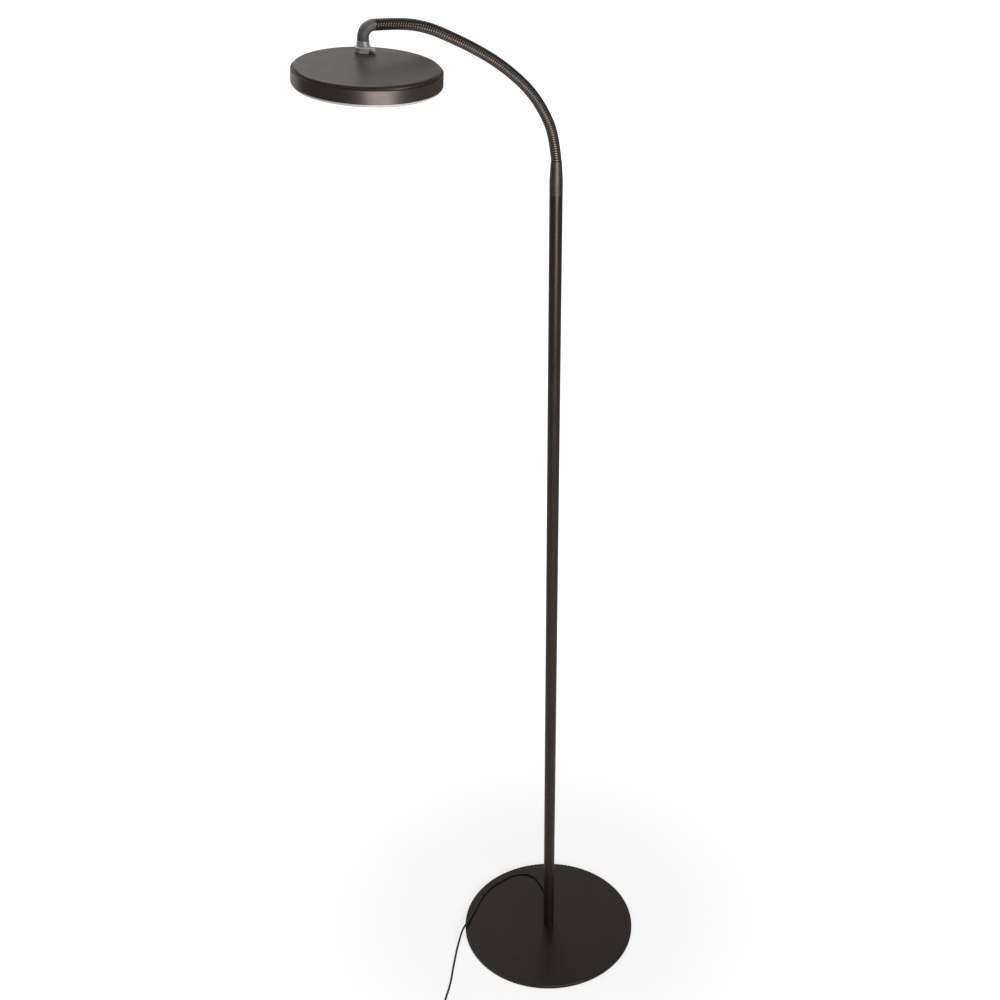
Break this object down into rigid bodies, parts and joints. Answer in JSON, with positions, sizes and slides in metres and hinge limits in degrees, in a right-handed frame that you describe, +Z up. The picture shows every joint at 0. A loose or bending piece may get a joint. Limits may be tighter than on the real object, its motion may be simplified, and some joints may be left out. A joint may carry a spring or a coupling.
{
  "type": "floor lamp",
  "caption": "Gooseneck reading floor lamp: round weighted base, slim straight pole, ribbed bendable neck and a flat round light head on a swivel.",
  "frame": {"origin": "middle of the base's underside, on the pole's axis", "axes": "+Z up along the pole; the neck bends towards -X in the XZ plane"},
  "size_m": [0.522, 0.346, 1.4487],
  "materials": {
    "rubber_black": "matte black",
    "bronze_paint": "dark bronze, semi-gloss",
    "ferrule_bronze": "satin bronze",
    "neck_bronze": "dark bronze plating",
    "head_bronze": "very dark bronze, semi-gloss",
    "satin_nickel": "satin nickel",
    "chrome": "polished",
    "zinc_steel": "zinc plated",
    "nylon": "natural nylon",
    "plate_aluminium": "mill finish",
    "led_phosphor": "phosphor coated",
    "opal": "opal, satin",
    "adapter_plastic": "fine texture black",
    "plated_brass": "nickel plated"
  },
  "bodies": {
    "stand": {"base_pad": "rubber_black", "base_plate": "bronze_paint", "base_screw": "zinc_steel", "pole_foot": "zinc_steel", "lower_pole": "bronze_paint", "pole_coupler": "zinc_steel", "upper_pole": "bronze_paint", "cable_grommet": "rubber_black", "pole_lead": "rubber_black", "ferrule": "ferrule_bronze", "neck_segment_1": "neck_bronze", "lead": "rubber_black", "lead_coil": "rubber_black", "lead_tail": "rubber_black", "adapter_body": "adapter_plastic", "adapter_pins": "plated_brass", "adapter_relief": "rubber_black"},
    "neck_2": {"neck_segment_2": "neck_bronze"},
    "neck_3": {"neck_segment_3": "neck_bronze"},
    "neck_4": {"neck_segment_4": "neck_bronze"},
    "neck_5": {"neck_segment_5": "neck_bronze"},
    "neck_6": {"neck_segment_6": "neck_bronze"},
    "neck_7": {"neck_segment_7": "neck_bronze"},
    "neck_8": {"neck_segment_8": "neck_bronze"},
    "neck_9": {"neck_segment_9": "neck_bronze"},
    "neck_10": {"neck_segment_10": "neck_bronze", "elbow": "satin_nickel", "collar": "chrome", "swivel_nut": "chrome", "swivel_set_screw": "chrome", "swivel_stud": "zinc_steel", "friction_washer": "nylon", "swivel_locknut": "zinc_steel"},
    "head": {"head_top": "head_bronze", "head_band": "head_bronze", "heat_plate": "plate_aluminium", "led_board": "plate_aluminium", "leds": "led_phosphor", "head_screws": "zinc_steel", "wire_terminal": "nylon", "head_lead": "rubber_black", "diffuser": "opal"}
  },
  "joints": [
    {"name": "neck_bend_1", "type": "hinge", "parent": "stand", "child": "neck_2", "pos_m": [-0.00371, 0, 1.28309], "axis": [0, -1, 0], "range_deg": [-37.3, 2.7]},
    {"name": "neck_bend_2", "type": "hinge", "parent": "neck_2", "child": "neck_3", "pos_m": [-0.0168, 0, 1.31262], "axis": [0, -1, 0], "range_deg": [-29.8, 10.2]},
    {"name": "neck_sway_3", "type": "hinge", "parent": "neck_3", "child": "neck_4", "pos_m": [-0.03472, 0, 1.33949], "axis": [0.7749, 0, 0.632], "range_deg": [-18, 18]},
    {"name": "neck_bend_4", "type": "hinge", "parent": "neck_4", "child": "neck_5", "pos_m": [-0.05744, 0, 1.36245], "axis": [0, -1, 0], "range_deg": [-26.1, 13.9]},
    {"name": "neck_sway_5", "type": "hinge", "parent": "neck_5", "child": "neck_6", "pos_m": [-0.08247, 0, 1.38286], "axis": [0.592, 0, 0.8059], "range_deg": [-18, 18]},
    {"name": "neck_bend_6", "type": "hinge", "parent": "neck_6", "child": "neck_7", "pos_m": [-0.10944, 0, 1.40064], "axis": [0, -1, 0], "range_deg": [-23.6, 16.4]},
    {"name": "neck_sway_7", "type": "hinge", "parent": "neck_7", "child": "neck_8", "pos_m": [-0.13747, 0, 1.4167], "axis": [0.4787, 0, 0.878], "range_deg": [-18, 18]},
    {"name": "neck_bend_8", "type": "hinge", "parent": "neck_8", "child": "neck_9", "pos_m": [-0.16614, 0, 1.43156], "axis": [0, -1, 0], "range_deg": [-32.3, 7.7]},
    {"name": "neck_bend_9", "type": "hinge", "parent": "neck_9", "child": "neck_10", "pos_m": [-0.19733, 0, 1.43997], "axis": [0, -1, 0], "range_deg": [-30.7, 9.3]},
    {"name": "head_swivel", "type": "hinge", "parent": "neck_10", "child": "head", "pos_m": [-0.24308, 0, 1.416], "axis": [0.0593, 0, 0.9982], "range_deg": [-165, 40]}
  ]
}
